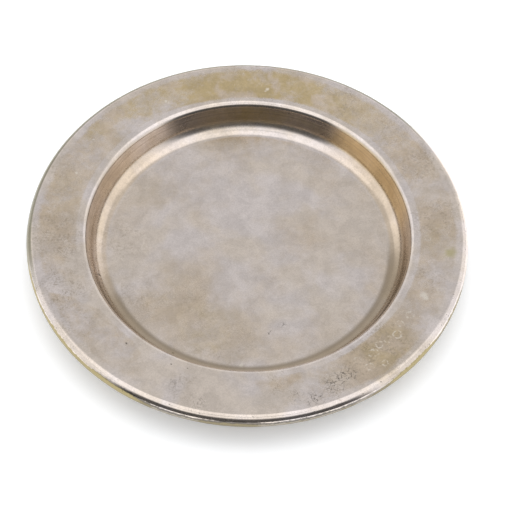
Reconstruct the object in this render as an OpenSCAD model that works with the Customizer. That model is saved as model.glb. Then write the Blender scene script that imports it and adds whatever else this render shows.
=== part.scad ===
// Paten plate: one spun sheet of silver-plated brass, with its edge rolled around a stiffening wire.
// The plate stands on its flat floor. Origin: middle of the floor's underside. +Z points up.

/* [Plate] */
// Overall diameter, over the rolled edge (mm)
overall_d = 152.4; // [135:0.1:200]
// Thickness of the sheet (mm)
sheet_t = 1; // [0.6:0.1:1.4]

/* [Well] */
// Diameter of the mouth of the well, where the rim meets the shoulder (mm)
well_d = 115; // [80:0.5:125]
// Depth of the well, from the inner end of the rim to the floor (mm)
well_depth = 10.2; // [8:0.1:16]
// Slope of the wall from the horizontal (degrees)
wall_slope = 74; // [50:1:80]
// Radius of the shoulder, on the upper surface (mm)
shoulder_r = 2.4; // [1.8:0.1:4]
// Radius of the cove between floor and wall, on the upper surface (mm)
cove_r = 5.5; // [2:0.1:8]

/* [Rim] */
// Rise of the rim outwards, from the horizontal (degrees)
rim_slope = 6; // [0:0.5:15]

/* [Rolled edge] */
// Diameter of the stiffening wire (mm)
wire_d = 3.5; // [2:0.1:5]
// Clearance all round the wire inside the roll (mm)
wire_clearance = 0.05; // [0.02:0.01:0.15]
// How far the sheet is rolled round, from the rim (degrees)
roll_turn = 285; // [180:1:290]
// Gap between the butted ends of the wire (mm)
wire_end_gap = 0.4; // [0.1:0.1:2]

/* [Hidden] */
$fn = 180;

silver_colour = "#c3b9ac";
brass_colour = "#b5a060";

// Largest turn between two points of a bend's outline (degrees)
bend_step = 5;

// Rolled edge: the sheet wraps the wire, with its upper surface outermost. The rim runs into the roll at a
// tangent, rim_run out from the mouth of the well.
roll_bore_r = wire_d / 2 + wire_clearance;
roll_r = roll_bore_r + sheet_t;
rim_run = overall_d / 2 - roll_r * (1 + sin(rim_slope)) - well_d / 2;
roll_centre = [
    overall_d / 2 - roll_r,
    sheet_t + well_depth + rim_run * tan(rim_slope) - roll_r * cos(rim_slope)
];

// Shoulder: it ends at a tangent to the rim at the mouth of the well.
shoulder_centre = [
    well_d / 2 + shoulder_r * sin(rim_slope),
    sheet_t + well_depth - shoulder_r * cos(rim_slope)
];

// Cove: it starts at a tangent to the floor, and the wall runs from it to the shoulder. Of the height between
// the two centres, the bends take what their radii reach up and down, and the wall's slope gives the rest.
cove_centre_z = sheet_t + cove_r;
bends_width = (cove_r + shoulder_r) * sin(wall_slope);
bends_height = (cove_r + shoulder_r) * cos(wall_slope);
wall_height = shoulder_centre[1] - cove_centre_z + bends_height;
cove_centre = [
    shoulder_centre[0] - bends_width - wall_height / tan(wall_slope),
    cove_centre_z
];

// Angle at the middle of the plate that the gap between the wire's ends takes up.
wire_gap_angle = wire_end_gap / roll_centre[0] * 180 / PI;

// The points of an arc from one angle round to another, both ends included.
function arc(centre, r, from, to) =
    let (steps = ceil(abs(to - from) / bend_step))
    [for (i = [0:steps]) let (a = from + (to - from) * i / steps) centre + r * [cos(a), sin(a)]];

// The same points from last to first.
function reversed(points) = [for (i = [len(points) - 1:-1:0]) points[i]];

// One surface of the sheet, from the plate's axis out to the end of the roll. The upper surface has inset 0,
// and the lower surface lies a sheet's thickness in from it, round the same centres.
function sheet_face(inset) = concat(
    [[0, sheet_t - inset]],
    arc(cove_centre, cove_r + inset, -90, wall_slope - 90),
    arc(shoulder_centre, shoulder_r - inset, wall_slope + 90, rim_slope + 90),
    arc(roll_centre, roll_r - inset, rim_slope + 90, rim_slope + 90 - roll_turn)
);

// The spun sheet: floor, cove, wall, shoulder, rim and rolled edge.
module dish() {
    color(silver_colour)
        rotate_extrude()
            polygon(concat(sheet_face(sheet_t), reversed(sheet_face(0))));
}

// The wire inside the rolled edge, bent to a ring with its ends butted.
module edge_wire() {
    color(brass_colour)
        rotate([0, 0, wire_gap_angle / 2])
            rotate_extrude(angle = 360 - wire_gap_angle)
                translate(roll_centre)
                    circle(d = wire_d);
}

dish();
edge_wire();
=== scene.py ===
"""Paten plate: one spun sheet of silver-plated brass, with its edge rolled over a stiffening wire.

Sizes in the classes are in millimetres and degrees, and meshes are made in metres. The plate stands on
the middle of its floor at the origin, with +Z up and -Y towards the camera.
"""

import logging
import math
from dataclasses import dataclass
from enum import Enum
from typing import NamedTuple

import bmesh
import bpy
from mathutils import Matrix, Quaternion, Vector


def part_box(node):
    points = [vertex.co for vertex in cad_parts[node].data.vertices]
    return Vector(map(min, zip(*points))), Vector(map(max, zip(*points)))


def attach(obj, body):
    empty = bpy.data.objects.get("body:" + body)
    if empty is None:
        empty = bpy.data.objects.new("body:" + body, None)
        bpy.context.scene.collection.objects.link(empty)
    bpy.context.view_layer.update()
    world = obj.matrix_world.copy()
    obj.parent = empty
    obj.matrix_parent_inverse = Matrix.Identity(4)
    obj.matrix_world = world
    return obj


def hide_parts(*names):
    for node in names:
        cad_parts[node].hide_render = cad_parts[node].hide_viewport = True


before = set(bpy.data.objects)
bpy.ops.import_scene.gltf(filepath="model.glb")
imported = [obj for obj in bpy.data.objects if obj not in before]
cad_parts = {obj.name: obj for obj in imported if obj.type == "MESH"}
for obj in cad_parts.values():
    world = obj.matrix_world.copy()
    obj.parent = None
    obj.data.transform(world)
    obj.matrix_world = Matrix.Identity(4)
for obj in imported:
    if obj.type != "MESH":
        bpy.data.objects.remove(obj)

Colour = tuple[float, float, float]
Socket = bpy.types.NodeSocket
Outputs = bpy.types.NodeOutputs
Value = Socket | float | tuple

MM = 0.001
BODY = "root"
SEED_STEP = (31.7, -17.3, 23.9)

log = logging.getLogger("paten")


class Side(Enum):
    """Which surface of the sheet a point lies on."""

    UPPER = 0.0
    LOWER = 1.0


class Tag(Enum):
    """Names of the numbers that each point of the sheet carries for its finish."""

    ROLL_TURN = "roll_turn"
    UNDERSIDE = "underside"
    SECTION_RADIUS = "section_radius"


# ---------------------------------------------------------------------------------------------- shape


@dataclass(frozen=True)
class SectionPoint:
    """One point of the sheet's section."""

    radius: float
    height: float
    roll_turn: float
    side: Side


@dataclass(frozen=True)
class SheetSizes:
    """Sizes of the spun sheet, which are those of the solid part."""

    overall_d: float
    sheet_t: float = 1.0
    well_d: float = 115.0
    well_depth: float = 10.2
    wall_slope: float = 74.0
    shoulder_r: float = 2.4
    cove_r: float = 5.5
    rim_slope: float = 6.0
    wire_d: float = 3.5
    wire_clearance: float = 0.05
    roll_turn: float = 285.0

    @property
    def roll_r(self) -> float:
        """Outer radius of the rolled edge."""
        return self.wire_d / 2 + self.wire_clearance + self.sheet_t

    @property
    def roll_centre(self) -> Vector:
        """Centre of the rolled edge in the section, as radius and height."""
        slope = math.radians(self.rim_slope)
        rim_run = self.overall_d / 2 - self.roll_r * (1 + math.sin(slope)) - self.well_d / 2
        height = self.sheet_t + self.well_depth + rim_run * math.tan(slope) - self.roll_r * math.cos(slope)
        return Vector((self.overall_d / 2 - self.roll_r, height))

    @property
    def shoulder_centre(self) -> Vector:
        """Centre of the shoulder's bend in the section."""
        slope = math.radians(self.rim_slope)
        return Vector((
            self.well_d / 2 + self.shoulder_r * math.sin(slope),
            self.sheet_t + self.well_depth - self.shoulder_r * math.cos(slope),
        ))

    @property
    def cove_centre(self) -> Vector:
        """Centre of the cove's bend in the section."""
        wall = math.radians(self.wall_slope)
        bends = self.cove_r + self.shoulder_r
        height = self.sheet_t + self.cove_r
        wall_height = self.shoulder_centre.y - height + bends * math.cos(wall)
        run = bends * math.sin(wall) + wall_height / math.tan(wall)
        return Vector((self.shoulder_centre.x - run, height))


@dataclass(frozen=True)
class SheetSection:
    """Half of the sheet's section, out along its upper surface and back along its lower surface."""

    sizes: SheetSizes

    def outline(self) -> list[SectionPoint]:
        """Works out the closed section, from the plate's axis round and back to it.

        Returns:
            Its points in order.
        """
        return self.surface(Side.UPPER) + self.surface(Side.LOWER)[::-1]

    def surface(self, side: Side) -> list[SectionPoint]:
        """Works out one surface of the sheet, from the plate's axis out to the end of the roll.

        Args:
            side: which surface.

        Returns:
            Its points in order.
        """
        z = self.sizes
        upper = side is Side.UPPER
        inset = 0.0 if upper else z.sheet_t
        fine = 1.0 if upper else 2.0
        cove = self.arc(z.cove_centre, z.cove_r + inset, -90, z.wall_slope - 90, 4 * fine)
        start = z.rim_slope + 90
        shoulder = self.arc(z.shoulder_centre, z.shoulder_r - inset, z.wall_slope + 90, start, 5 * fine)
        roll = self.arc(z.roll_centre, z.roll_r - inset, start, start - z.roll_turn, 6 * fine)
        points = self.straight(Vector((0.0, z.sheet_t - inset)), cove[0], 3.0 * fine)
        points += cove
        points += self.straight(cove[-1], shoulder[0], 0.8 * fine)[1:]
        points += shoulder
        points += self.straight(shoulder[-1], roll[0], 0.9 * fine)[1:]
        turns = [0.0] * len(points) + [z.roll_turn * i / (len(roll) - 1) for i in range(len(roll))]
        return [SectionPoint(p.x, p.y, turn, side) for p, turn in zip(points + roll, turns)]

    @staticmethod
    def arc(centre: Vector, radius: float, start: float, end: float, step: float) -> list[Vector]:
        """Works out the points of an arc, both ends included.

        Args:
            centre: centre of the arc.
            radius: its radius.
            start: angle of its first point, in degrees.
            end: angle of its last point, in degrees.
            step: largest angle between two points, in degrees.

        Returns:
            The points in order.
        """
        steps = math.ceil(abs(end - start) / step)
        angles = [math.radians(start + (end - start) * i / steps) for i in range(steps + 1)]
        return [centre + radius * Vector((math.cos(a), math.sin(a))) for a in angles]

    @staticmethod
    def straight(start: Vector, end: Vector, step: float) -> list[Vector]:
        """Works out the points of a straight stretch, its start included and its end left out.

        Args:
            start: its first point.
            end: the point that it stops short of.
            step: largest distance between two points.

        Returns:
            The points in order.
        """
        steps = math.ceil((end - start).length / step)
        return [start.lerp(end, i / steps) for i in range(steps)]


# ------------------------------------------------------------------------------------------ node trees


class Band(NamedTuple):
    """A range of a number, and the width of its soft ends."""

    low: float
    high: float
    fade: float


class Graph:
    """A node tree with short calls for the nodes that both shapes and finishes use."""

    def __init__(self, tree: bpy.types.NodeTree) -> None:
        """Empties the tree.

        Args:
            tree: the tree to fill.
        """
        self.tree = tree
        self.tree.nodes.clear()

    def add(self, kind: str, inputs: dict | None = None, **settings: object) -> bpy.types.Node:
        """Adds a node.

        Args:
            kind: Blender's name for the kind of node.
            inputs: value or socket for each input, by name or number.
            settings: the node's own settings.

        Returns:
            The node.
        """
        node = self.tree.nodes.new(kind)
        for name, value in settings.items():
            setattr(node, name, value)
        for key, value in (inputs or {}).items():
            self.feed(node.inputs[key], value)
        return node

    def feed(self, socket: Socket, value: Value) -> None:
        """Links a socket to an input, or sets the input to a plain value.

        Args:
            socket: the input.
            value: a socket or a plain value.
        """
        if isinstance(value, Socket):
            self.tree.links.new(value, socket)
        elif socket.type == "RGBA" and len(value) == 3:
            socket.default_value = (*value, 1.0)
        else:
            socket.default_value = value

    def math(self, operation: str, a: Value, b: Value = 0.0, clamp: bool = False) -> Socket:
        """Adds a Math node.

        Args:
            operation: Blender's name for the operation.
            a: first number.
            b: second number.
            clamp: whether the result is kept from 0 to 1.

        Returns:
            The result.
        """
        return self.add("ShaderNodeMath", {0: a, 1: b}, operation=operation, use_clamp=clamp).outputs[0]

    def times(self, a: Value, b: Value, clamp: bool = False) -> Socket:
        """Multiplies two numbers.

        Args:
            a: first number.
            b: second number.
            clamp: whether the result is kept from 0 to 1.

        Returns:
            The result.
        """
        return self.math("MULTIPLY", a, b, clamp)

    def plus(self, a: Value, b: Value, clamp: bool = False) -> Socket:
        """Adds two numbers.

        Args:
            a: first number.
            b: second number.
            clamp: whether the result is kept from 0 to 1.

        Returns:
            The result.
        """
        return self.math("ADD", a, b, clamp)

    def vector(self, operation: str, a: Value, b: Value = (0.0, 0.0, 0.0)) -> Socket:
        """Adds a Vector Math node with two vectors.

        Args:
            operation: Blender's name for the operation.
            a: first vector.
            b: second vector.

        Returns:
            The result, a vector or, for LENGTH, DISTANCE and DOT_PRODUCT, a number.
        """
        node = self.add("ShaderNodeVectorMath", {0: a, 1: b}, operation=operation)
        number = operation in ("LENGTH", "DISTANCE", "DOT_PRODUCT")
        return node.outputs["Value" if number else "Vector"]

    def scaled(self, a: Value, factor: Value) -> Socket:
        """Multiplies a vector by a number.

        Args:
            a: the vector.
            factor: the number.

        Returns:
            The longer or shorter vector.
        """
        return self.add("ShaderNodeVectorMath", {0: a, "Scale": factor}, operation="SCALE").outputs["Vector"]

    def span(self, value: Value, low: float, high: float, to: tuple[float, float] = (0.0, 1.0)) -> Socket:
        """Turns a range of numbers smoothly into another, and holds its ends beyond it.

        Args:
            value: the number.
            low: where the range starts. It may be above high.
            high: where it ends.
            to: what the two ends become.

        Returns:
            The result.
        """
        backwards = low > high
        ends = to[::-1] if backwards else to
        lows = sorted((low, high))
        node = self.add("ShaderNodeMapRange", {0: value, 1: lows[0], 2: lows[1], 3: ends[0], 4: ends[1]})
        node.interpolation_type = "SMOOTHSTEP"
        return node.outputs[0]

    def within(self, value: Value, low: float, high: float, fade: float) -> Socket:
        """Marks where a number lies between two limits.

        Args:
            value: the number.
            low: lower limit.
            high: upper limit.
            fade: width of the soft edge at each limit.

        Returns:
            1 between the limits and 0 elsewhere.
        """
        above = self.span(value, low - fade / 2, low + fade / 2)
        below = self.span(value, high + fade / 2, high - fade / 2)
        return self.times(above, below)

    def seeded(self, where: Value, seed: float) -> Socket:
        """Shifts a place, so that each seed gives a noise another pattern.

        Args:
            where: position in millimetres.
            seed: any number.

        Returns:
            The shifted place.
        """
        return self.vector("ADD", where, tuple(seed * step for step in SEED_STEP))

    def noise(self, where: Value, scale: float, detail: float = 2.0, rough: float = 0.5,
              spread: float = 0.0, seed: float = 0.0) -> Socket:
        """Adds a noise whose seed shifts it.

        Args:
            where: position in millimetres.
            scale: waves per millimetre.
            detail: number of finer layers.
            rough: strength of the finer layers.
            spread: distortion.
            seed: any number; each gives another pattern.

        Returns:
            A number from 0 to 1 that is mostly near the middle.
        """
        inputs = {"Vector": self.seeded(where, seed), "Scale": scale, "Detail": detail, "Roughness": rough}
        inputs["Distortion"] = spread
        return self.add("ShaderNodeTexNoise", inputs).outputs[0]

    def mixed(self, factor: Value, a: Value, b: Value, blend: str = "MIX") -> Socket:
        """Mixes two colours.

        Args:
            factor: how much of the second colour there is, from 0 to 1.
            a: first colour.
            b: second colour.
            blend: Blender's name for the way of mixing.

        Returns:
            The mixed colour.
        """
        node = self.add("ShaderNodeMix", {0: factor, 6: a, 7: b}, data_type="RGBA", blend_type=blend)
        return node.outputs[2]


# ------------------------------------------------------------------------------------------------ dish


@dataclass(frozen=True)
class Nick:
    """A small dent that a knock left in the rolled edge."""

    bearing: float
    roll_turn: float
    width: float
    depth: float


@dataclass(frozen=True)
class SpunSheet:
    """The node tree that turns the section into the sheet, with the marks of its making and use."""

    segments: int = 540
    ripple_height: float = 0.006
    ripple_pitch: float = 1.1
    knock_height: float = 0.035
    knock_length: float = 7.0
    knock_range: tuple[float, float] = (0.35, 0.75)
    knocked_turn: float = 40.0
    well_offset: tuple[float, float, float] = (0.3, 0.9, 0.0)
    well_stretch: tuple[float, float, float] = (0.0055, 0.0115, 0.0)
    well_fade: tuple[float, float] = (72.0, 60.0)
    seed: float = 4.0
    weld: float = 0.002

    def tree(self, sizes: SheetSizes, nicks: tuple[Nick, ...]) -> bpy.types.NodeTree:
        """Builds the tree.

        Args:
            sizes: sizes of the sheet.
            nicks: dents in the rolled edge.

        Returns:
            The tree, with inputs for its sizes.
        """
        tree = bpy.data.node_groups.new("spun_sheet", "GeometryNodeTree")
        sockets = tree.interface
        sockets.new_socket("Section", in_out="INPUT", socket_type="NodeSocketGeometry")
        for name in ("Rows", "Segments"):
            sockets.new_socket(name, in_out="INPUT", socket_type="NodeSocketInt")
        for name in ("Ripple Height", "Knock Height", "Seed", "Weld"):
            sockets.new_socket(name, in_out="INPUT", socket_type="NodeSocketFloat")
        for name in ("Well Offset", "Well Stretch"):
            sockets.new_socket(name, in_out="INPUT", socket_type="NodeSocketVector")
        sockets.new_socket("Finish", in_out="INPUT", socket_type="NodeSocketMaterial")
        sockets.new_socket("Sheet", in_out="OUTPUT", socket_type="NodeSocketGeometry")
        graph = Graph(tree)
        given = graph.add("NodeGroupInput").outputs
        turned = self.turned(graph, given)
        marked = self.rippled(graph, given, self.off_centre(graph, given, turned))
        marked = self.knocked(graph, given, marked, sizes, nicks)
        inputs = {"Geometry": marked, "Distance": given["Weld"]}
        welded = graph.add("GeometryNodeMergeByDistance", inputs).outputs[0]
        smooth = graph.add("GeometryNodeSetShadeSmooth", {"Geometry": welded}).outputs[0]
        real = graph.add("GeometryNodeRealizeInstances", {"Geometry": smooth}).outputs[0]
        inputs = {"Geometry": real, "Material": given["Finish"]}
        dressed = graph.add("GeometryNodeSetMaterial", inputs).outputs[0]
        graph.add("NodeGroupOutput", {"Sheet": dressed})
        return tree

    def turned(self, graph: Graph, given: Outputs) -> Socket:
        """Turns the section about Z: each row of a grid is one point of it, carried once round.

        Args:
            graph: the tree.
            given: the tree's inputs.

        Returns:
            The turned mesh, whose points carry the section's tags.
        """
        seam = graph.plus(given["Segments"], 1.0)
        inputs = {"Vertices X": given["Rows"], "Vertices Y": seam}
        grid = graph.add("GeometryNodeMeshGrid", inputs).outputs["Mesh"]
        index = graph.add("GeometryNodeInputIndex").outputs[0]
        row = graph.math("FLOOR", graph.math("DIVIDE", graph.plus(index, 0.5), seam))
        column = graph.math("SUBTRACT", index, graph.times(row, seam))
        angle = graph.times(graph.math("DIVIDE", column, given["Segments"]), math.tau)
        place = graph.add("GeometryNodeInputPosition").outputs[0]
        point = self.sampled(graph, given["Section"], place, row, "FLOAT_VECTOR")
        inputs = {"Vector": point, "Angle": angle}
        swung = graph.add("ShaderNodeVectorRotate", inputs, rotation_type="Z_AXIS").outputs[0]
        mesh = graph.add("GeometryNodeSetPosition", {"Geometry": grid, "Position": swung}).outputs[0]
        for tag in Tag:
            value = self.sampled(graph, given["Section"], self.tagged(graph, tag), row, "FLOAT")
            inputs = {"Geometry": mesh, "Name": tag.value, "Value": value}
            store = graph.add("GeometryNodeStoreNamedAttribute", inputs, data_type="FLOAT", domain="POINT")
            mesh = store.outputs[0]
        return mesh

    def off_centre(self, graph: Graph, given: Outputs, mesh: Socket) -> Socket:
        """Moves the well a little off the edge's centre and makes it slightly oval, as hand work does.

        Args:
            graph: the tree.
            given: the tree's inputs.
            mesh: the turned mesh.

        Returns:
            The mesh with its well moved.
        """
        place = graph.vector("MULTIPLY", graph.add("GeometryNodeInputPosition").outputs[0], (1.0, 1.0, 0.0))
        still, whole = (radius * MM for radius in self.well_fade)
        share = graph.span(graph.vector("LENGTH", place), still, whole)
        oval = graph.vector("MULTIPLY", place, given["Well Stretch"])
        offset = graph.scaled(graph.vector("ADD", given["Well Offset"], oval), share)
        return graph.add("GeometryNodeSetPosition", {"Geometry": mesh, "Offset": offset}).outputs[0]

    @staticmethod
    def sampled(graph: Graph, source: Socket, value: Value, index: Value, kind: str) -> Socket:
        """Reads a value of the section's points by their number.

        Args:
            graph: the tree.
            source: the section.
            value: what to read.
            index: number of the point.
            kind: Blender's name for the kind of value.

        Returns:
            The value.
        """
        node = graph.add("GeometryNodeSampleIndex", data_type=kind, domain="POINT")
        graph.feed(node.inputs["Geometry"], source)
        graph.feed(node.inputs["Value"], value)
        graph.feed(node.inputs["Index"], index)
        return node.outputs[0]

    def rippled(self, graph: Graph, given: Outputs, mesh: Socket) -> Socket:
        """Adds the fine rings that the spinning tool leaves, all of them inwards.

        Args:
            graph: the tree.
            given: the tree's inputs.
            mesh: the turned mesh.

        Returns:
            The mesh with rings.
        """
        place = graph.add("GeometryNodeInputPosition").outputs[0]
        z = graph.add("ShaderNodeSeparateXYZ", {0: place}).outputs["Z"]
        radius = graph.vector("LENGTH", graph.vector("MULTIPLY", place, (1.0, 1.0, 0.0)))
        along = graph.math("DIVIDE", graph.math("SUBTRACT", radius, z), MM)
        inputs = {"W": along, "Scale": 1 / self.ripple_pitch, "Detail": 1.0}
        ring = graph.add("ShaderNodeTexNoise", inputs, noise_dimensions="1D").outputs[0]
        upper = graph.math("SUBTRACT", 1.0, self.tagged(graph, Tag.UNDERSIDE))
        return self.pushed(graph, mesh, graph.times(ring, upper), given["Ripple Height"])

    def knocked(self, graph: Graph, given: Outputs, mesh: Socket,
                sizes: SheetSizes, nicks: tuple[Nick, ...]) -> Socket:
        """Adds the uneven roll and the dents that use has left in it, all of them inwards.

        Args:
            graph: the tree.
            given: the tree's inputs.
            mesh: the mesh with rings.
            sizes: sizes of the sheet.
            nicks: the dents.

        Returns:
            The mesh with a worn edge.
        """
        place = graph.scaled(graph.add("GeometryNodeInputPosition").outputs[0], 1 / MM)
        seed = graph.scaled(SEED_STEP, given["Seed"])
        wave = graph.noise(graph.vector("ADD", place, seed), 1 / self.knock_length, 3.0)
        on_roll = graph.span(self.tagged(graph, Tag.ROLL_TURN), 0.0, self.knocked_turn)
        depth = graph.times(graph.span(wave, *self.knock_range), on_roll)
        mesh = self.pushed(graph, mesh, depth, given["Knock Height"])
        for nick in nicks:
            rise = math.radians(sizes.rim_slope + 90 - nick.roll_turn)
            out = sizes.roll_centre.x + sizes.roll_r * math.cos(rise)
            bearing = math.radians(nick.bearing)
            up = sizes.roll_centre.y + sizes.roll_r * math.sin(rise)
            spot = (out * math.cos(bearing), out * math.sin(bearing), up)
            far = graph.vector("DISTANCE", place, spot)
            mesh = self.pushed(graph, mesh, graph.span(far, nick.width / 2, 0.0), nick.depth * MM)
        return mesh

    @staticmethod
    def tagged(graph: Graph, tag: Tag) -> Socket:
        """Reads a tag of the mesh's points.

        Args:
            graph: the tree.
            tag: the tag.

        Returns:
            Its number at each point.
        """
        return graph.add("GeometryNodeInputNamedAttribute", {"Name": tag.value}, data_type="FLOAT").outputs[0]

    @staticmethod
    def pushed(graph: Graph, mesh: Socket, share: Value, depth: Value) -> Socket:
        """Moves the mesh's points inwards along their normals.

        Args:
            graph: the tree.
            mesh: the mesh.
            share: share of the depth at each point.
            depth: greatest depth, in metres.

        Returns:
            The moved mesh.
        """
        normal = graph.add("GeometryNodeInputNormal").outputs[0]
        offset = graph.scaled(normal, graph.times(graph.times(share, depth), -1.0))
        return graph.add("GeometryNodeSetPosition", {"Geometry": mesh, "Offset": offset}).outputs[0]


@dataclass(frozen=True)
class Dish:
    """The spun sheet, rolled over the wire at its edge."""

    sizes: SheetSizes
    spin: SpunSheet = SpunSheet()
    nicks: tuple[Nick, ...] = (
        Nick(bearing=-95.0, roll_turn=62.0, width=1.6, depth=0.09),
        Nick(bearing=-91.0, roll_turn=30.0, width=1.2, depth=0.05),
        Nick(bearing=-66.0, roll_turn=50.0, width=2.4, depth=0.06),
        Nick(bearing=-128.0, roll_turn=80.0, width=2.0, depth=0.08),
        Nick(bearing=-31.0, roll_turn=85.0, width=2.2, depth=0.08),
        Nick(bearing=17.0, roll_turn=70.0, width=1.8, depth=0.06),
        Nick(bearing=143.0, roll_turn=75.0, width=2.0, depth=0.07),
    )

    def build(self, finish: bpy.types.Material) -> bpy.types.Object:
        """Makes the sheet and puts it in the solid part's place.

        Args:
            finish: its finish.

        Returns:
            The piece.
        """
        points = SheetSection(self.sizes).outline()
        source = self.section_object(points)
        spin = self.spin
        group = spin.tree(self.sizes, self.nicks)
        modifier = source.modifiers.new("spun_sheet", "NODES")
        modifier.node_group = group
        values = {
            "Rows": len(points),
            "Segments": spin.segments,
            "Ripple Height": spin.ripple_height * MM,
            "Knock Height": spin.knock_height * MM,
            "Seed": spin.seed,
            "Weld": spin.weld * MM,
            "Well Offset": tuple(part * MM for part in spin.well_offset),
            "Well Stretch": spin.well_stretch,
            "Finish": finish,
        }
        for item in group.interface.items_tree:
            if item.name in values:
                modifier[item.identifier] = values[item.name]
        piece = self.plain_copy(source, finish)
        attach(piece, BODY)
        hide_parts("dish")
        return piece

    @staticmethod
    def section_object(points: list[SectionPoint]) -> bpy.types.Object:
        """Makes the section as a line of points in the XZ plane.

        Args:
            points: the section's points.

        Returns:
            The line's object.
        """
        mesh = bpy.data.meshes.new("sheet_section")
        corners = [(p.radius * MM, 0.0, p.height * MM) for p in points]
        mesh.from_pydata(corners, [(i, i + 1) for i in range(len(points) - 1)], [])
        tags = {
            Tag.ROLL_TURN: [p.roll_turn for p in points],
            Tag.UNDERSIDE: [p.side.value for p in points],
            Tag.SECTION_RADIUS: [p.radius for p in points],
        }
        for tag, numbers in tags.items():
            mesh.attributes.new(tag.value, "FLOAT", "POINT").data.foreach_set("value", numbers)
        line = bpy.data.objects.new("sheet_section", mesh)
        bpy.context.scene.collection.objects.link(line)
        return line

    @staticmethod
    def plain_copy(source: bpy.types.Object, finish: bpy.types.Material) -> bpy.types.Object:
        """Turns the evaluated section into a plain mesh whose faces point outwards, and removes the section.

        Args:
            source: the section with its node tree.
            finish: the mesh's finish.

        Returns:
            The plain object.
        """
        graph = bpy.context.evaluated_depsgraph_get()
        mesh = bpy.data.meshes.new_from_object(source.evaluated_get(graph))
        bpy.data.objects.remove(source)
        shell = bmesh.new()
        shell.from_mesh(mesh)
        bmesh.ops.recalc_face_normals(shell, faces=shell.faces)
        shell.to_mesh(mesh)
        shell.free()
        mesh.name = "plate_sheet"
        mesh.materials.clear()
        mesh.materials.append(finish)
        piece = bpy.data.objects.new("plate_sheet", mesh)
        bpy.context.scene.collection.objects.link(piece)
        return piece


class EdgeWire:
    """The wire inside the rolled edge, which shows only through the slit under the rim."""

    def dress(self, finish: bpy.types.Material) -> bpy.types.Object:
        """Gives the solid part's wire its finish.

        Args:
            finish: the finish.

        Returns:
            The wire.
        """
        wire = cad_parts["edge_wire"]
        wire.data.materials.clear()
        wire.data.materials.append(finish)
        return wire


# -------------------------------------------------------------------------------------------- finishes


@dataclass(frozen=True)
class Patch:
    """A round area, seen from above, where something is stronger, or weaker if the share is below 0."""

    x: float
    y: float
    size: float
    share: float = 1.0
    fade: float = 0.8


class FinishGraph(Graph):
    """A material's node tree, with the calls that draw wear and tarnish."""

    def __init__(self, material: bpy.types.Material) -> None:
        """Empties the material's tree and finds the place of each point, in millimetres.

        Args:
            material: the material.
        """
        material.use_nodes = True
        super().__init__(material.node_tree)
        self.place = self.scaled(self.add("ShaderNodeTexCoord").outputs["Object"], 1 / MM)
        self.x, self.y, self.z = self.add("ShaderNodeSeparateXYZ", {0: self.place}).outputs
        self.flat = self.add("ShaderNodeCombineXYZ", {0: self.x, 1: self.y}).outputs[0]
        self.radius = self.vector("LENGTH", self.flat)

    def stirred(self, reach: float, size: float, seed: float) -> Socket:
        """Pushes the flat place about, so that what is drawn with it has an uneven edge.

        Args:
            reach: how far it is pushed, in millimetres.
            size: size of the unevenness, in millimetres.
            seed: any number.

        Returns:
            The pushed place.
        """
        shifted = self.seeded(self.place, seed)
        inputs = {"Vector": shifted, "Scale": 1 / size, "Detail": 3.0, "Roughness": 0.6}
        noise = self.add("ShaderNodeTexNoise", inputs).outputs["Color"]
        push = self.scaled(self.vector("SUBTRACT", noise, (0.5, 0.5, 0.5)), 2 * reach)
        return self.vector("ADD", self.flat, push)

    def eased(self, value: Value, factor: Value, plus: float) -> Socket:
        """Multiplies a number and adds another to it.

        Args:
            value: the number.
            factor: what it is multiplied by.
            plus: what is added then.

        Returns:
            The result.
        """
        return self.add("ShaderNodeMath", {0: value, 1: factor, 2: plus}, operation="MULTIPLY_ADD").outputs[0]

    def patched(self, where: Value, patches: tuple[Patch, ...], start: Value = 0.0) -> Socket:
        """Adds up patches.

        Args:
            where: flat place.
            patches: the patches.
            start: what they are added to.

        Returns:
            The sum.
        """
        total = start
        for patch in patches:
            far = self.vector("DISTANCE", where, (patch.x, patch.y, 0.0))
            inner = patch.size * (1 - patch.fade)
            total = self.plus(total, self.span(far, inner, patch.size, (patch.share, 0.0)))
        return total

    def contour(self, where: Value, size: float, width: float, seed: float) -> Socket:
        """Draws thin wandering lines.

        Args:
            where: position in millimetres.
            size: size of their turns, in millimetres.
            width: their width, as a share of the turns.
            seed: any number.

        Returns:
            1 on the lines and 0 elsewhere.
        """
        level = self.math("SUBTRACT", self.noise(where, 1 / size, 1.0, 0.5, 0.6, seed), 0.5)
        return self.span(self.math("ABSOLUTE", level), width, 0.0)

    def finish(self, relief: Value, depth: float, strength: float, **inputs: Value) -> bpy.types.Node:
        """Ends the tree in a metal.

        Args:
            relief: height of the surface, as a share of the depth.
            depth: what the relief's 1 is, in millimetres.
            strength: strength of the relief.
            inputs: the metal's colour and roughness.

        Returns:
            The metal's shader.
        """
        bump = self.add("ShaderNodeBump", {"Strength": strength, "Distance": depth * MM, "Height": relief})
        shader = self.add("ShaderNodeBsdfPrincipled", {"Metallic": 1.0, "Normal": bump.outputs[0]})
        for name, value in inputs.items():
            self.feed(shader.inputs[name.replace("_", " ").title()], value)
        self.add("ShaderNodeOutputMaterial", {"Surface": shader.outputs[0]})
        return shader


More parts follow.
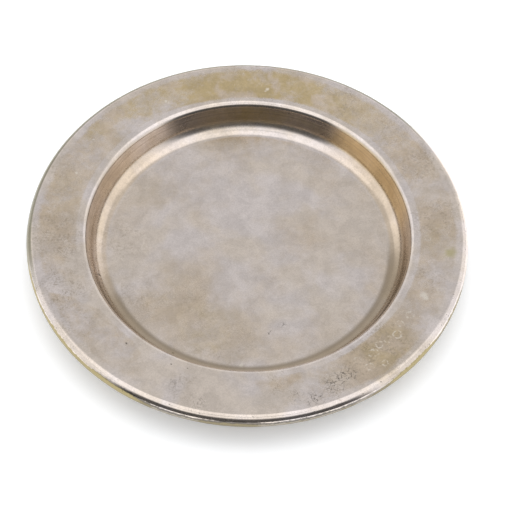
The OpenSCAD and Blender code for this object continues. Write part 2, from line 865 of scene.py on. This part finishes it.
@dataclass(frozen=True)
class WornSilver:
    """Silver plate on brass: tarnished in patches, spotted, scratched and worn to the brass on the roll, with
    painted reflection on the front of the roll and in the wall's tone.
    """

    name: str = "worn_silver"
    clean: Colour = (0.80, 0.705, 0.625)
    cool: Colour = (0.82, 0.745, 0.72)
    film: Colour = (0.655, 0.545, 0.435)
    golden: Colour = (0.575, 0.455, 0.265)
    brown: Colour = (0.33, 0.265, 0.19)
    pale: Colour = (0.93, 0.86, 0.76)
    green: Colour = (0.52, 0.47, 0.20)
    dirt: Colour = (0.07, 0.06, 0.05)
    brass: Colour = (0.30, 0.255, 0.16)
    dulled: Colour = (0.42, 0.375, 0.31)
    olive: Colour = (0.24, 0.225, 0.16)
    gilt: Colour = (0.44, 0.365, 0.185)
    # Painted reflection: near-black colour for the dark band low on the front of the roll, where the roll
    # reflects the dark room.
    painted_dark_band: Colour = (0.12, 0.11, 0.095)
    # Tones of the wall by side: partly tarnish, partly painted reflection.
    wall_near_left: Colour = (0.69, 0.655, 0.60)
    wall_far_left: Colour = (0.90, 0.86, 0.78)
    wall_right: Colour = (0.61, 0.55, 0.46)
    wall_amber: Colour = (0.86, 0.73, 0.46)
    wall_far: Colour = (0.97, 0.96, 0.95)
    cove_sides: Colour = (1.0, 0.94, 0.84)
    under_light: Colour = (0.68, 0.60, 0.50)
    under_dark: Colour = (0.58, 0.495, 0.36)

    wall_band: Band = Band(53.3, 56.0, 1.0)
    rough_band: Band = Band(51.2, 55.6, 1.2)
    neck_band: Band = Band(55.8, 58.8, 1.6)
    cove_band: Band = Band(49.4, 53.3, 1.4)
    clean_cove_band: Band = Band(48.8, 53.4, 1.4)
    near_cove_dark_band: Band = Band(48.6, 54.0, 1.6)
    rim_start: tuple[float, float] = (57.0, 61.0)
    clean_edge: tuple[float, float] = (71.0, 73.2)
    tide_centre: tuple[float, float, float] = (-70.0, -68.0, 0.0)
    tide_edge: tuple[float, float] = (39.4, 40.6)
    tide_tail: tuple[float, float] = (56.0, 42.0)
    green_stain: Patch = Patch(69.5, -7.5, 3.2)
    # Painted reflection: where on the front of the roll the dark band is painted.
    painted_dark_front: Patch = Patch(0, -76, 62, 0.85, 0.5)
    painted_dark_turn: Band = Band(71.0, 87.0, 6.0)
    worn_turn: tuple[float, float] = (79.0, 85.0)
    olive_line_turn: tuple[float, float] = (17.0, 34.0)

    plate_roughness: tuple[float, float] = (0.13, 0.31)
    pit_roughness: float = 0.3
    wall_roughness: float = 0.1
    worn_roughness: float = 0.14
    relief_depth: float = 0.05
    relief_strength: float = 0.3

    thick: tuple[Patch, ...] = (
        Patch(0, 67, 38, 0.40), Patch(-24, 62, 18, 0.25), Patch(-50, 46, 18, 0.30), Patch(-65, 8, 20, 0.25),
        Patch(-64, -20, 20, 0.35), Patch(12, -60.5, 5, 0.6), Patch(7, -61.5, 5, 0.5),
        Patch(16.5, -59.5, 4.5, 0.5), Patch(50, -40, 14, 0.5), Patch(42, -51, 15, 0.7),
        Patch(60, -22, 9, 0.25), Patch(66, 6, 15, 0.30), Patch(60, 32, 16, 0.22), Patch(36, 57, 12, 0.25),
        Patch(-20, -32, 30, 0.35), Patch(-42, 14, 16, 0.2), Patch(-30, 32, 20, 0.2), Patch(16, 6, 16, 0.15),
        Patch(46, -14, 10, 0.25), Patch(0, -46, 22, 0.25), Patch(40, -30, 10, 0.2), Patch(-5, 47, 20, 0.15),
    )
    thin: tuple[Patch, ...] = (
        Patch(-8, -68, 32, -0.6), Patch(-24, -60, 14, -0.2), Patch(20, -66, 22, -0.3),
        Patch(-57, -15, 7, -0.7), Patch(-44, 42, 9, -0.5), Patch(-62, -52, 12, -0.1),
        Patch(60, -42, 12, -0.3), Patch(66, -17, 8, -0.2), Patch(-26, 4, 15, -0.35),
        Patch(-8, 22, 14, -0.2), Patch(12, 32, 16, -0.25), Patch(27, -12, 18, -0.35),
        Patch(13, -27, 11, -0.35), Patch(36, 10, 14, -0.15), Patch(0, 2, 14, -0.15),
    )
    yellowed: tuple[Patch, ...] = (
        Patch(-25, 66, 13), Patch(-40, 55, 14, 0.9), Patch(-58, 42, 10, 0.8), Patch(2, 66, 18, 0.5),
        Patch(-13, -31, 15, 0.4), Patch(-30, -18, 14, 0.35), Patch(-14, -45, 12, 0.4),
        Patch(46, -22, 9, 0.5), Patch(-12, 66, 12, 0.5), Patch(46, -46, 16, 0.7), Patch(20, 63, 20, 0.4),
        Patch(46, 47, 22, 0.25), Patch(68, -2, 12, 0.3), Patch(-66, 12, 18, 0.25), Patch(28, -58, 8, 0.4),
        Patch(10, 64, 22, 0.7), Patch(0, 67, 44, 0.5), Patch(-40, 50, 24, 0.3), Patch(34, 57, 20, 0.5),
        Patch(-30, 60, 22, 0.5), Patch(-10, -40, 22, 0.2), Patch(-30, 20, 16, 0.3),
    )
    spotted: tuple[Patch, ...] = (
        Patch(-65, -4, 15, 0.9), Patch(-63, -26, 14), Patch(-57, -40, 10, 0.5), Patch(-67, 22, 12, 0.5),
        Patch(35, 57, 10, 0.8), Patch(50, 46, 10, 0.6), Patch(61, 30, 11, 0.9), Patch(66, 7, 12),
        Patch(46, -44, 14), Patch(38, -53, 10), Patch(62, -18, 10, 0.5), Patch(-43, 2, 12, 0.6),
        Patch(-36, -22, 13, 0.6), Patch(-18, -24, 12, 0.5), Patch(-8, -40, 16, 0.5),
        Patch(10, -60.5, 7, 0.8), Patch(-20, -64, 8, 0.6), Patch(29, -62, 8), Patch(0, 63, 20, 0.3),
    )
    scribbled: tuple[Patch, ...] = (
        Patch(30, -61, 6), Patch(34, -57, 5), Patch(23, -67, 4.5), Patch(17, -66, 4, 0.7),
        Patch(-22, -62, 5, 0.4), Patch(-15, -69, 5, 0.4), Patch(8.5, -34.5, 1.8, 0.9),
        Patch(12.5, -32, 2.6, 0.9), Patch(-62, -8, 7, 0.3),
    )
    drops: tuple[Patch, ...] = (
        Patch(42.5, -48.5, 1.5), Patch(41, -54, 1.3), Patch(46, -52.5, 1.0), Patch(51.5, -36.5, 1.2),
        Patch(50.5, -41, 1.4), Patch(47.5, -43, 1.3), Patch(44.5, -45, 1.2), Patch(65.5, -23.5, 1.2, 0.5),
        Patch(37, -51.5, 1.3, 0.6), Patch(55, -33, 1.3), Patch(64, 3, 1.1, 0.4), Patch(62, -1, 1.0, 0.4),
    )
    pits: tuple[Patch, ...] = (
        Patch(-24, -54.5, 0.5), Patch(-24.3, -52.4, 0.4), Patch(-39, -47, 0.45), Patch(-38, -46.4, 0.3),
        Patch(-50.8, -13.8, 0.9), Patch(-18.5, -56, 0.35), Patch(-24, -43.8, 0.5), Patch(8, -35, 0.45),
    )
    flecks: tuple[Patch, ...] = (
        Patch(5.6, 64, 0.9), Patch(5.0, 63.2, 0.5), Patch(-31, 57, 0.8), Patch(-30, 56.3, 0.5),
        Patch(-61, 23, 0.6), Patch(-56, 38, 0.6), Patch(59.8, -24.8, 1.7), Patch(60.6, -26.2, 1.3),
        Patch(-1, -48, 1.0), Patch(34, 34, 0.6),
    )
    worn_through: tuple[Patch, ...] = (
        Patch(-4, -76, 13), Patch(-44, -62, 20, 2.6), Patch(56, -51, 20, 2.6), Patch(-72, -24, 16, 2.2),
        Patch(-62, -44, 18, 2.2), Patch(70, -30, 14, 1.4),
    )

    def make(self) -> bpy.types.Material:
        """Makes the material.

        Returns:
            The material.
        """
        material = bpy.data.materials.new(self.name)
        graph = FinishGraph(material)
        under = self.tag(graph, Tag.UNDERSIDE)
        turn = self.tag(graph, Tag.ROLL_TURN)
        film = self.tarnish(graph)
        colour = self.plated(graph, film)
        colour, dark = self.marked(graph, colour)
        well = self.tag(graph, Tag.SECTION_RADIUS)
        wall = graph.within(well, *self.wall_band)
        colour, lines = self.spun(graph, colour, wall)
        colour, bare = self.rolled(graph, colour, turn, under)
        rough = graph.span(film, 0.0, 1.0, self.plate_roughness)
        rough = graph.plus(rough, graph.times(dark, self.pit_roughness))
        dull = graph.within(well, *self.rough_band)
        rough = graph.plus(rough, graph.times(dull, self.wall_roughness))
        rough = graph.plus(rough, graph.times(bare, self.worn_roughness), clamp=True)
        grain = graph.noise(graph.place, 1.6, 4.0, 0.7, 0.0, 9.0)
        relief = graph.plus(graph.times(lines, 0.5), graph.times(grain, 0.35))
        graph.finish(relief, self.relief_depth, self.relief_strength, base_color=colour, roughness=rough)
        return material

    @staticmethod
    def tag(graph: FinishGraph, tag: Tag) -> Socket:
        """Reads a tag of the sheet's points.

        Args:
            graph: the material's tree.
            tag: the tag.

        Returns:
            Its number.
        """
        return graph.add("ShaderNodeAttribute", attribute_name=tag.value).outputs["Fac"]

    def tarnish(self, graph: FinishGraph) -> Socket:
        """Lays the tarnish: clouds, with thicker and thinner patches and cleaner bands beside the bends.

        Args:
            graph: the material's tree.

        Returns:
            Thickness of the tarnish, from 0 to 1.
        """
        where = graph.stirred(4.0, 10.0, 1.0)
        well = self.tag(graph, Tag.SECTION_RADIUS)
        broad = graph.noise(graph.place, 1 / 26, 4.0, 0.55, 0.4, 2.0)
        fine = graph.noise(graph.place, 1 / 3.5, 6.0, 0.72, 0.3, 3.0)
        on_rim = graph.span(graph.radius, *self.rim_start)
        level = graph.eased(broad, 1.3, -0.39)
        fine = graph.times(graph.math("SUBTRACT", fine, 0.5), graph.eased(on_rim, 0.8, 0.55))
        level = graph.plus(graph.plus(level, fine), graph.eased(on_rim, 0.2, 0.0))
        level = graph.patched(where, self.thick, level)
        level = graph.patched(where, self.thin, level)
        tide = graph.vector("DISTANCE", graph.stirred(1.6, 6.0, 22.0), self.tide_centre)
        tide = graph.times(graph.span(tide, *self.tide_edge), graph.span(tide, *self.tide_tail))
        tide = graph.times(graph.times(tide, on_rim), 0.55)
        ring = graph.vector("LENGTH", graph.stirred(1.2, 7.0, 5.0))
        edge = graph.span(ring, *self.clean_edge, (0.0, 0.6))
        neck = graph.times(graph.within(well, *self.neck_band), 0.9)
        far = graph.span(graph.y, -10.0, 20.0, (0.0, 0.4))
        cove = graph.times(graph.within(well, *self.clean_cove_band), far)
        for cleaner in (edge, neck, cove, tide):
            level = graph.math("SUBTRACT", level, cleaner)
        return graph.span(level, 0.05, 0.95)

    def plated(self, graph: FinishGraph, film: Value) -> Socket:
        """Colours the silver by the tarnish on it.

        Args:
            graph: the material's tree.
            film: thickness of the tarnish.

        Returns:
            The colour.
        """
        patches = graph.span(graph.noise(graph.place, 1 / 17, 3.0, 0.5, 0.3, 6.0), 0.4, 0.62)
        bare = graph.mixed(patches, self.clean, self.cool)
        golden = graph.patched(graph.stirred(6.0, 9.0, 7.0), self.yellowed)
        patchy = graph.span(graph.noise(graph.place, 1 / 8, 5.0, 0.6, 0.3, 8.0), 0.35, 0.6)
        golden = graph.times(golden, patchy, clamp=True)
        tarnished = graph.mixed(golden, self.film, self.golden)
        colour = graph.mixed(film, bare, tarnished)
        cloud = graph.span(graph.noise(graph.place, 1 / 7, 5.0, 0.7, 0.4, 28.0), 0.34, 0.66, (0.90, 1.06))
        grain = graph.span(graph.noise(graph.place, 1 / 0.6, 2.0, 0.6, 0.0, 29.0), 0.3, 0.7, (0.95, 1.04))
        shade = graph.times(cloud, grain)
        return graph.scaled(colour, shade)

    def marked(self, graph: FinishGraph, colour: Value) -> tuple[Socket, Socket]:
        """Adds spots, dried drops, scratches, pits and pale flecks.

        Args:
            graph: the material's tree.
            colour: colour of the silver.

        Returns:
            The colour, and where the surface is pitted or scratched.
        """
        near = graph.stirred(0.7, 1.5, 11.0)
        area = graph.patched(graph.stirred(5.0, 8.0, 12.0), self.spotted, 0.16)
        speck = graph.span(graph.noise(graph.place, 1 / 0.75, 4.0, 0.75, 0.4, 13.0), 0.44, 0.62)
        mottle = graph.span(graph.noise(graph.place, 1 / 3.5, 4.0, 0.65, 0.5, 14.0), 0.4, 0.64)
        spots = graph.times(graph.times(speck, area), graph.eased(mottle, 0.75, 0.3))
        colour = graph.mixed(graph.times(spots, 0.55, clamp=True), colour, self.brown)
        stain = graph.patched(graph.stirred(1.2, 2.5, 15.0), (self.green_stain,))
        colour = graph.mixed(graph.times(stain, 0.6), colour, self.green)
        rims = 0.0
        broken = graph.span(graph.noise(graph.place, 1 / 1.1, 2.0, 0.6, 0.0, 16.0), 0.44, 0.58)
        for drop in self.drops:
            far = graph.vector("DISTANCE", near, (drop.x, drop.y, 0.0))
            off = graph.math("ABSOLUTE", graph.math("SUBTRACT", far, drop.size))
            rims = graph.plus(rims, graph.span(off, 0.45, 0.0, (0.0, drop.share)))
        rims = graph.times(rims, broken, clamp=True)
        colour = graph.mixed(graph.times(rims, 0.7), colour, self.pale)
        flecks = graph.patched(near, self.flecks)
        grit = graph.span(graph.noise(graph.place, 1 / 0.7, 2.0, 0.5, 0.0, 17.0), 0.69, 0.75)
        flecks = graph.plus(flecks, graph.times(grit, 0.6), clamp=True)
        colour = graph.mixed(graph.times(flecks, 0.7), colour, self.pale)
        pits = graph.patched(near, self.pits)
        coarse = graph.contour(graph.place, 3.5, 0.028, 18.0)
        lines = graph.math("MAXIMUM", coarse, graph.contour(graph.place, 2.0, 0.032, 19.0))
        lines = graph.times(lines, graph.patched(graph.stirred(1.0, 2.0, 20.0), self.scribbled))
        gaps = graph.span(graph.noise(graph.place, 1 / 0.8, 2.0, 0.5, 0.0, 21.0), 0.38, 0.5)
        lines = graph.times(lines, gaps)
        dark = graph.plus(pits, graph.times(lines, 0.95), clamp=True)
        colour = graph.mixed(graph.times(dark, 0.85), colour, self.dirt)
        return colour, dark

    def spun(self, graph: FinishGraph, colour: Value, wall: Value) -> tuple[Socket, Socket]:
        """Adds the rings left by spinning; tones the wall, partly with the thicker tarnish that polishing
        leaves there and partly with painted reflection that makes it lighter at the far side and amber on the
        right; and darkens the cove towards brown on the near side.

        Args:
            graph: the material's tree.
            colour: colour so far.
            wall: where the wall of the well is.

        Returns:
            The colour, and the rings.
        """
        well = self.tag(graph, Tag.SECTION_RADIUS)
        along = graph.math("SUBTRACT", well, graph.z)
        inputs = {"W": along, "Scale": 2.4, "Detail": 3.0}
        wave = graph.add("ShaderNodeTexNoise", inputs, noise_dimensions="1D").outputs[0]
        # Partly tarnish, partly painted reflection: the wall's tone is set side by side, lighter at the far
        # side and amber on the right.
        sunny = graph.span(graph.plus(graph.x, graph.times(graph.y, 0.5)), 0.0, 52.0)
        left = graph.mixed(graph.span(graph.y, 10.0, 35.0), self.wall_near_left, self.wall_far_left)
        tone = graph.mixed(sunny, left, self.wall_right)
        amber = graph.times(sunny, graph.within(graph.y, 10.0, 48.0, 12.0))
        tone = graph.mixed(amber, tone, self.wall_amber)
        tone = graph.mixed(graph.span(graph.y, 46.0, 53.0), tone, self.wall_far)
        colour = graph.mixed(wall, colour, tone, "MULTIPLY")
        cove = graph.within(well, *self.cove_band)
        sides = graph.mixed(graph.span(graph.y, 50.0, 38.0), (1.0, 1.0, 1.0), self.cove_sides)
        colour = graph.mixed(cove, colour, sides, "MULTIPLY")
        # Darkens the cove towards brown on the near side.
        aside = graph.math("SUBTRACT", graph.y, graph.eased(graph.x, 0.2, 4.0))
        near = graph.times(graph.within(well, *self.near_cove_dark_band), graph.span(aside, -2.0, -22.0))
        colour = graph.mixed(graph.times(near, 0.75), colour, self.brown)
        shade = graph.times(graph.span(wave, 0.42, 0.62, (0.0, 0.35)), wall)
        colour = graph.mixed(shade, colour, self.brown)
        return colour, wave

    def rolled(self, graph: FinishGraph, colour: Value, turn: Value,
               under: Value) -> tuple[Socket, Socket]:
        """Wears the roll, down to the brass in places, paints a dark reflection on its front, darkens its far
        side towards olive, and dulls the underside.

        Args:
            graph: the material's tree.
            colour: colour so far.
            turn: angle round the roll.
            under: whether the point is on the lower surface.

        Returns:
            The colour, and where the silver is worn or dulled.
        """
        ragged = graph.noise(graph.place, 1 / 1.5, 4.0, 0.65, 0.0, 23.0)
        worn = graph.patched(graph.stirred(3.0, 6.0, 24.0), self.worn_through)
        level = graph.plus(turn, graph.eased(ragged, 30.0, -15.0))
        level = graph.plus(level, graph.times(worn, 9.0))
        low = graph.span(level, *self.worn_turn)
        # Darkens the outer turn of the roll towards olive on the far side.
        behind = graph.span(graph.math("SUBTRACT", graph.y, graph.times(graph.x, 0.5)), 0.0, 30.0)
        olive_line = graph.times(graph.span(turn, *self.olive_line_turn), behind)
        colour = graph.mixed(graph.times(olive_line, 0.9), colour, self.olive)
        bare = graph.noise(graph.place, 1 / 7, 3.0, 0.6, 0.0, 25.0)
        bare = graph.span(graph.plus(bare, graph.times(worn, 0.5)), 0.5, 0.68)
        tone = graph.mixed(bare, self.dulled, self.brass)
        tone = graph.mixed(graph.times(graph.span(worn, 1.0, 2.0), 0.75), tone, self.gilt)
        # Painted reflection: a near-black band low on the front of the roll stands for the dark room it
        # reflects there.
        painted_dark = graph.patched(graph.flat, (self.painted_dark_front,))
        painted_dark = graph.times(graph.within(level, *self.painted_dark_turn), painted_dark)
        colour = graph.mixed(painted_dark, graph.mixed(low, colour, tone), self.painted_dark_band)
        below = graph.span(graph.noise(graph.place, 1 / 12, 5.0, 0.65, 0.3, 26.0), 0.25, 0.75)
        below = graph.mixed(below, self.under_light, self.under_dark)
        colour = graph.mixed(under, colour, below)
        nicks = graph.span(graph.noise(graph.place, 1 / 0.9, 2.0, 0.5, 0.0, 27.0), 0.66, 0.72)
        nicks = graph.times(nicks, graph.span(turn, 5.0, 30.0))
        colour = graph.mixed(graph.times(nicks, 0.55), colour, self.dirt)
        return colour, graph.math("MAXIMUM", low, under)


@dataclass(frozen=True)
class DullBrass:
    """Bare drawn brass that air has dulled."""

    name: str = "dull_brass"
    fresh: Colour = (0.60, 0.45, 0.20)
    dulled: Colour = (0.36, 0.25, 0.11)
    roughness: tuple[float, float] = (0.3, 0.55)
    relief_depth: float = 0.03
    relief_strength: float = 0.3

    def make(self) -> bpy.types.Material:
        """Makes the material.

        Returns:
            The material.
        """
        material = bpy.data.materials.new(self.name)
        graph = FinishGraph(material)
        dull = graph.span(graph.noise(graph.place, 0.4, 4.0, 0.6), 0.35, 0.65)
        colour = graph.mixed(dull, self.fresh, self.dulled)
        rough = graph.span(dull, 0.0, 1.0, self.roughness)
        grain = graph.noise(graph.place, 3.0, 3.0, 0.6, 0.0, 2.0)
        graph.finish(grain, self.relief_depth, self.relief_strength, base_color=colour, roughness=rough)
        return material


# ---------------------------------------------------------------------------------------------- studio


@dataclass(frozen=True)
class Panel:
    """A soft panel of light or dark in the room round the plate.

    The pitch turns from the front horizon, over the top, to the back. The turn is the angle from the front
    seen from above, on either side, and the lift is the height above the horizon.
    """

    light: float
    pitch: tuple[float, float] = (-10.0, 190.0)
    turn: tuple[float, float] = (-10.0, 190.0)
    lift: tuple[float, float] = (-10.0, 100.0)
    fade: float = 8.0


@dataclass(frozen=True)
class Studio:
    """Pale floor, a room with soft panels of light, and the camera."""

    floor_size: float = 16.0
    floor_colour: Colour = (0.93, 0.935, 0.94)
    floor_glow: float = 0.27
    floor_light: float = 0.9
    floor_light_pitch: Band = Band(95.0, 165.0, 20.0)
    glow_colour: Colour = (0.93, 0.955, 1.0)
    walls: float = 0.66
    panels: tuple[Panel, ...] = (
        Panel(light=0.78, turn=(138.0, 200.0), lift=(-10.0, 38.0), fade=14.0),
        Panel(light=1.0, turn=(52.0, 138.0), lift=(2.0, 46.0), fade=10.0),
        Panel(light=0.10, turn=(-10.0, 52.0), lift=(-20.0, 43.0), fade=14.0),
        Panel(light=1.15, pitch=(53.0, 110.0), lift=(48.0, 110.0), fade=12.0),
        Panel(light=0.55, pitch=(69.5, 75.0), lift=(66.0, 110.0), fade=4.0),
    )
    camera_lift: float = 54.0
    camera_roll: float = 2.4
    camera_radii: float = 8.0
    lens: float = 120.2
    sensor: float = 36.0
    aim_right: float = 0.0814
    aim_down: float = 0.1612

    def floor(self) -> bpy.types.Object:
        """Makes the pale floor under the plate. It glows a little, as a lit table does.

        Returns:
            The floor.
        """
        half = self.floor_size / 2
        mesh = bpy.data.meshes.new("floor")
        corners = [(-half, -half, 0), (half, -half, 0), (half, half, 0), (-half, half, 0)]
        mesh.from_pydata(corners, [], [(0, 1, 2, 3)])
        material = bpy.data.materials.new("pale_floor")
        material.use_nodes = True
        graph = Graph(material.node_tree)
        matt = graph.add("ShaderNodeBsdfDiffuse", {"Color": self.floor_colour})
        glow = graph.add("ShaderNodeEmission", {"Color": self.glow_colour, "Strength": self.floor_glow})
        both = graph.add("ShaderNodeAddShader", {0: matt.outputs[0], 1: glow.outputs[0]})
        graph.add("ShaderNodeOutputMaterial", {"Surface": both.outputs[0]})
        mesh.materials.append(material)
        floor = bpy.data.objects.new("floor", mesh)
        bpy.context.scene.collection.objects.link(floor)
        return floor

    def room(self) -> None:
        """Lights the room by direction, with its panels laid over each other in order."""
        world = bpy.data.worlds.new("room")
        bpy.context.scene.world = world
        world.use_nodes = True
        graph = Graph(world.node_tree)
        way = graph.add("ShaderNodeTexCoord").outputs["Generated"]
        x, y, z = graph.add("ShaderNodeSeparateXYZ", {0: way}).outputs
        front = graph.times(y, -1.0)
        pitch = graph.math("DEGREES", graph.math("ARCTAN2", z, front))
        turn = graph.math("ABSOLUTE", graph.math("DEGREES", graph.math("ARCTAN2", x, front)))
        lift = graph.math("DEGREES", graph.math("ARCSINE", z))
        level = self.walls
        for panel in self.panels:
            mask = graph.within(pitch, *panel.pitch, panel.fade)
            mask = graph.times(mask, graph.within(turn, *panel.turn, panel.fade))
            mask = graph.times(mask, graph.within(lift, *panel.lift, panel.fade))
            mix = graph.add("ShaderNodeMix", {0: mask, 2: level, 3: panel.light}, data_type="FLOAT")
            level = mix.outputs[0]
        rays = graph.add("ShaderNodeLightPath").outputs
        behind = graph.times(graph.within(pitch, *self.floor_light_pitch), rays["Is Diffuse Ray"])
        level = graph.plus(level, graph.times(behind, self.floor_light))
        seen = rays["Is Camera Ray"]
        shade = graph.add("ShaderNodeCombineXYZ", {0: level, 1: level, 2: level}).outputs[0]
        colour = graph.mixed(seen, shade, (1.0, 1.0, 1.0))
        light = graph.add("ShaderNodeBackground", {"Color": colour, "Strength": 1.0})
        graph.add("ShaderNodeOutputWorld", {"Surface": light.outputs[0]})

    def camera(self, radius: float, top: float) -> bpy.types.Object:
        """Sets up the camera in front of the plate, looking down at it.

        Args:
            radius: radius of the plate, in metres.
            top: height of its rim, in metres.

        Returns:
            The camera.
        """
        lift = math.radians(self.camera_lift)
        back = Vector((0.0, -math.cos(lift), math.sin(lift)))
        right = Vector((1.0, 0.0, 0.0))
        up = back.cross(right)
        data = bpy.data.cameras.new("camera")
        data.lens = self.lens
        data.sensor_width = self.sensor
        data.clip_start = 0.05
        data.clip_end = 50.0
        camera = bpy.data.objects.new("camera", data)
        middle = Vector((0.0, 0.0, top))
        camera.location = middle + back * radius * self.camera_radii
        aim = middle + radius * (right * self.aim_right - up * self.aim_down)
        look = (aim - camera.location).to_track_quat("-Z", "Y")
        camera.rotation_mode = "QUATERNION"
        camera.rotation_quaternion = look @ Quaternion((0.0, 0.0, 1.0), math.radians(self.camera_roll))
        bpy.context.scene.collection.objects.link(camera)
        bpy.context.scene.camera = camera
        return camera

    def build(self, radius: float, top: float) -> None:
        """Builds the studio.

        Args:
            radius: radius of the plate, in metres.
            top: height of its rim, in metres.
        """
        self.floor()
        self.room()
        self.camera(radius, top)
        bpy.context.scene.view_settings.view_transform = "Standard"


def main() -> None:
    """Builds the plate and its studio."""
    logging.basicConfig(level=logging.INFO, format="%(name)s: %(message)s")
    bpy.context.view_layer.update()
    low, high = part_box("dish")
    dish = Dish(SheetSizes(overall_d=(high.x - low.x) / MM))
    sheet = dish.build(WornSilver().make())
    log.info("%s: %d points, %d faces", sheet.name, len(sheet.data.vertices), len(sheet.data.polygons))
    wire = EdgeWire().dress(DullBrass().make())
    log.info("%s: %d faces", wire.name, len(wire.data.polygons))
    Studio().build(radius=high.x, top=high.z)


if __name__ == "__main__":
    main()
